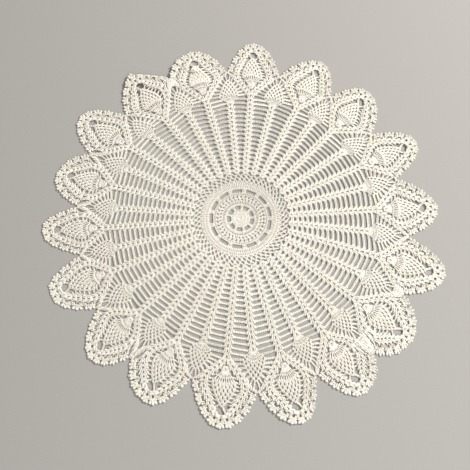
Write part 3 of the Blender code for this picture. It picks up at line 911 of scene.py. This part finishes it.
# %% Bars from the band to both pineapples
# All of these are seen from the inner pineapple's axis: how far across, and how far out. The first two bars
# come from the petal's own rib.
FLANK_RIB_ROWS = in_mm(((3.6, 152.6), (8.6, 157.8)))
FLANK_RIB_SINK = 0.6 * MM  # how far these two reach into the rib
FLANK_RIB_BOW = 0.3 * MM
FLANK_BARS = in_mm((
    ((10.8, 163.0), (22.4, 163.6)),
    ((10.6, 167.2), (20.4, 168.4)),
    ((9.4, 170.8), (17.8, 173.2)),
    ((7.4, 174.6), (14.8, 178.4)),
    ((5.2, 178.6), (11.6, 184.0)),
))
VALLEY_BARS = in_mm((
    ((3.4, 181.8), (7.6, 189.4)),
    ((1.4, 184.2), (3.6, 193.8)),
))
# Tall stitches that close the valley beside its slit, from their feet to their heads.
VALLEY_STITCHES = in_mm((
    ((1.5, 194.4), (0.9, 199.8)),
    ((2.8, 192.6), (2.8, 198.8)),
    ((4.2, 190.6), (4.8, 197.0)),
    ((5.6, 188.6), (6.7, 194.8)),
    ((7.0, 186.4), (8.4, 192.4)),
    ((8.3, 184.4), (9.9, 190.0)),
))
# Bars across the top of the slit: half of each one's length, and how far out it lies.
BRIDGES = in_mm(((2.8, 200.0),))
SHALLOW_BRIDGES = in_mm(((8.2, 193.8), (7.0, 195.7), (5.8, 197.6), (4.2, 199.5)))
SHALLOW_FROM = 0.87     # a valley that reaches further out than this is closed by more bars
# Ties inside a petal: where the lowest starts, and how far out each one meets the band.
FAN_TIE_START = in_mm((8.2, 183.4))
PETAL_TIE_ENDS = in_mm((184.4, 188.6, 193.0, 197.4, 201.8, 206.2, 210.6, 218.2))
INNER_EDGE = np.array([inner_edge(stop) for stop in range(1, BAND_SHELLS - 1)])
# The single bar across the top of a petal's opening, seen from the petal's axis.
EYE_BAR = in_mm(((-0.9, 216.4), (-5.0, 222.6)))


def add_bars(work, axis, mirror):
    """Bars on one side of a petal: to the next inner pineapple, and to the petal's own."""
    crown = axis - mirror * PETAL_PITCH / 2

    def from_crown(places):
        return [on_bearing(crown, -mirror * across, along) for across, along in places]

    for number, end in enumerate(from_crown(FLANK_RIB_ROWS)):
        radius = head_radius(LADDER_ROUNDS + number)
        start = on_bearing(axis, mirror * (RIB_HALF_AT_END - FLANK_RIB_SINK), radius)
        work.add_chain(start, end, mirror * FLANK_RIB_BOW, BAR_WIDTH)
    for bars, width in ((FLANK_BARS, BAR_WIDTH), (VALLEY_BARS, THIN_BAR_WIDTH)):
        for bar in bars:
            work.add_chain(*from_crown(bar), width=width)
    for stitch in VALLEY_STITCHES:
        work.add_tall(*from_crown(stitch), SHELL_WIDTH, headed=False)
    # On the left, the bar across the opening takes the place of the last tie.
    ends = [row_point(OUTER_LOOPS, level, 1.0) for level in range(len(OUTER_LOOPS) - (mirror < 0))]
    for (across, along), reached in zip([FAN_TIE_START] + ends, PETAL_TIE_ENDS):
        end = np.interp(reached, INNER_EDGE[:, 1], INNER_EDGE[:, 0])
        work.add_chain(on_bearing(axis, mirror * across, along), on_bearing(axis, mirror * end, reached),
                       width=THIN_BAR_WIDTH)


band_work = Work("petal_bands")
tie_work = Work("tie_bars")
for petal in range(PETALS):
    axis = petal_axis(petal)
    for level in range(LADDER_ROUNDS, RIB_SPLIT_LEVEL + 1):
        foot_radius = head_radius(level - 1) + SHELL_FOOT
        add_shell(band_work, polar(foot_radius, axis), polar(head_radius(level), axis), RIB_HALF_AT_END)
    for mirror in (-1, 1):
        add_band(band_work, axis, mirror)
        add_bars(tie_work, axis, mirror)
    tie_work.add_chain(*(on_bearing(axis, across, along) for across, along in EYE_BAR), width=BAR_WIDTH)
    for half, along in SHALLOW_BRIDGES if petal_row(petal)["valley_reach"] > SHALLOW_FROM else BRIDGES:
        ends = (on_bearing(axis + PETAL_PITCH / 2, across, along) for across in (-half, half))
        tie_work.add_chain(*ends, width=BAR_WIDTH)
print(band_work, tie_work, sep="\n")

# %% [markdown]
# ## The edging
# The last rounds follow each petal from valley to valley. First comes a close round of short stitches, with a
# hole under the middle of every fan. Then come nine fans of tall stitches with slits between them, and on
# them the picots, small knobs of chain that give the doily its toothed rim. Copies along a circle wouldn't
# fit a petal, so every stitch is placed by a number from -1 to 1 along its edge.

# %% The petal's edge as a curve
SCALLOPS = 9
SCALLOP_SPREAD = 0.25
FAN_STITCHES = 6
FAN_DEPTH = 7.4 * MM
FAN_LOSS = 0.12         # how much less that is in the valleys
FAN_DROP = 2.2 * MM     # how much lower a fan's outer stitches end than its middle ones
FAN_FEET, FAN_HEADS = 0.46, 0.89  # their spread, as shares of a scallop
PICOT_RISE = 2.8 * MM
PICOT_PLACES = (-0.62, 0.0, 0.62)
PICOT_BASES, PICOT_TIPS = 0.92, 1.05  # shares of these places, so that picots fan out a little
PICOT_INSET = 0.5 * MM
PICOT_WIDTH = 2.9 * MM
# The loop across a picot's end, as shares of the picot's width: half of it, how far back it is, how wide.
CROSS_HALF, CROSS_BACK, CROSS_WIDTH = 0.42, 0.25, 0.85
CLOSE_STITCHES = 6
CLOSE_DEPTH = 2.4 * MM
CLOSE_OVERLAP = 0.6 * MM  # how far they reach into the fans
CLOSE_KEPT = (0, 1, 4, 5)  # the others are left out, for a hole under the middle of a fan
EDGE_STEP = 0.001


def edge_offset(place):
    """The angle from a petal's axis at a place from -1 to 1 along its edge, for about even scallops."""
    return PETAL_PITCH / 2 * place * (1.0 + SCALLOP_SPREAD * (1.0 - abs(place)))


def edge_point(place):
    """The petal's edge, seen from the petal's axis on bearing 0, as a complex number."""
    offset = edge_offset(place)
    share = abs(offset) / (PETAL_PITCH / 2)
    return polar(REACH * (TIP_SHARE - (TIP_SHARE - VALLEY_SHARE) * share ** 2), offset)


def inset_point(place, inset):
    """A place that is some way inside the edge."""
    ahead, behind = edge_point(min(place + EDGE_STEP, 1.0)), edge_point(max(place - EDGE_STEP, -1.0))
    along = (ahead - behind) / abs(ahead - behind)
    return edge_point(place) + 1j * along * inset


def add_picot(work, base, tip):
    """A small knob of thread: one loop that stands out, and one across its end."""
    out = (tip - base) / abs(tip - base)
    side = 1j * out * PICOT_WIDTH * CROSS_HALF
    middle = tip - out * PICOT_WIDTH * CROSS_BACK
    work.links.append((base, middle, CHAIN_MIDDLE, PICOT_WIDTH))
    work.links.append((middle - side, middle + side, CHAIN_MIDDLE + RIB_LIFT / 2, PICOT_WIDTH * CROSS_WIDTH))


def fan_depth(place):
    """How far inside the edge the fans start."""
    return FAN_DEPTH * (1.0 - FAN_LOSS * place * place)


def add_edging(work, axis):
    turned = polar(1.0, axis)
    half = 1.0 / SCALLOPS
    for scallop in range(SCALLOPS):
        middle = 2.0 * (scallop + 0.5) / SCALLOPS - 1.0
        for stitch in range(FAN_STITCHES):
            share = 2.0 * stitch / (FAN_STITCHES - 1) - 1.0
            place = middle + share * half * FAN_FEET
            foot = inset_point(place, fan_depth(place))
            head = inset_point(middle + share * half * FAN_HEADS, PICOT_RISE + FAN_DROP * share * share)
            work.add_tall(foot * turned, head * turned, SHELL_WIDTH, headed=abs(share) < 1.0)
        for share in PICOT_PLACES:
            drop = FAN_DROP * share * share
            base = inset_point(middle + share * half * PICOT_BASES, PICOT_RISE + drop)
            tip = inset_point(middle + share * half * PICOT_TIPS, PICOT_INSET + drop)
            add_picot(work, base * turned, tip * turned)
        for stitch in CLOSE_KEPT:
            place = middle + half * (2.0 * (stitch + 0.5) / CLOSE_STITCHES - 1.0)
            depth = fan_depth(place)
            work.add_tall(inset_point(place, depth + CLOSE_DEPTH) * turned,
                          inset_point(place, depth - CLOSE_OVERLAP) * turned, headed=False)


edging = Work("picot_edging")
for petal in range(PETALS):
    add_edging(edging, petal_axis(petal))
print(edging)

# %% [markdown]
# ## Make the pieces
# Each piece of work becomes one mesh. The doily is one sheet of lace, so the ribs of the ladders, which run
# through its widest ring, and everything that is worked onto them are all attached to one body. Together they
# stand for the plain solid of the frame.

ribs = make_piece(rib_work)
others = [make_piece(work)
          for work in (centre, bar_work, inner_work, outer_work, band_work, tie_work, edging)]
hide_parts("doily")

# %% [markdown]
# ## Floor, light and camera
# The doily lies on a plain pale floor. Crochet is judged by its relief, and under a light straight above it
# would look printed. So a small strong light stands behind on the right, which gives every rib a bright and a
# shaded side, and a wide weak light in front opens the shade.

# %% Floor
FLOOR_HALF = 3.0
FLOOR_COLOUR = (0.37, 0.355, 0.335, 1.0)
FLOOR_ROUGHNESS = 0.9

floor_finish = bpy.data.materials.new("pale_floor")
floor_finish.use_nodes = True
floor_shader = floor_finish.node_tree.nodes["Principled BSDF"]
floor_shader.inputs["Base Color"].default_value = FLOOR_COLOUR
floor_shader.inputs["Roughness"].default_value = FLOOR_ROUGHNESS
floor_mesh = bpy.data.meshes.new("floor")
corners = [(x * FLOOR_HALF, y * FLOOR_HALF, 0.0) for x, y in ((-1, -1), (1, -1), (1, 1), (-1, 1))]
floor_mesh.from_pydata(corners, [], [(0, 1, 2, 3)])
floor_mesh.materials.append(floor_finish)
add_object("floor", floor_mesh)
print("floor:", 2 * FLOOR_HALF, "m square")

# %% Lights
# Name, place, size, power and colour.
LIGHTS = (
    ("key", (1.8, 1.08, 1.75), 0.45, 90.0, (1.0, 0.98, 0.94)),
    ("fill", (0.5, -1.0, 1.0), 1.2, 8.5, (0.95, 0.98, 1.0)),
)
ROOM_LIGHT = 0.35


def aim(thing, target):
    """Turns a light or a camera towards a place."""
    thing.rotation_euler = (Vector(target) - thing.location).to_track_quat("-Z", "Y").to_euler()


for name, location, size, power, colour in LIGHTS:
    lamp = bpy.data.lights.new(name, "AREA")
    lamp.size, lamp.energy, lamp.color = size, power, colour
    light = add_object(name, lamp)
    light.location = location
    aim(light, (0.0, 0.0, 0.0))
    print("light:", name, power, "watts")

world = bpy.data.worlds.new("studio")
world.use_nodes = True
background = world.node_tree.nodes["Background"]
background.inputs["Color"].default_value = (1.0, 1.0, 1.0, 1.0)
background.inputs["Strength"].default_value = ROOM_LIGHT
bpy.context.scene.world = world
bpy.context.scene.view_settings.view_transform = "Standard"

# %% Camera
CAMERA_AIM = (-0.0066, -0.0203, 0.0)
CAMERA_DISTANCE = 0.6837
CAMERA_ELEVATION = math.radians(73.54)
SENSOR = 36.0
FOCAL_PIXELS = 576.0    # focal length in pixels of a frame that is 470 wide
FRAME_PIXELS = 470.0

lens = bpy.data.cameras.new("camera")
lens.sensor_width = SENSOR
lens.lens = SENSOR * FOCAL_PIXELS / FRAME_PIXELS
camera = add_object("camera", lens)
camera.location = (CAMERA_AIM[0], CAMERA_AIM[1] - CAMERA_DISTANCE * math.cos(CAMERA_ELEVATION),
                   CAMERA_DISTANCE * math.sin(CAMERA_ELEVATION))
aim(camera, CAMERA_AIM)
bpy.context.scene.camera = camera
print("lens, mm:", round(lens.lens, 2))
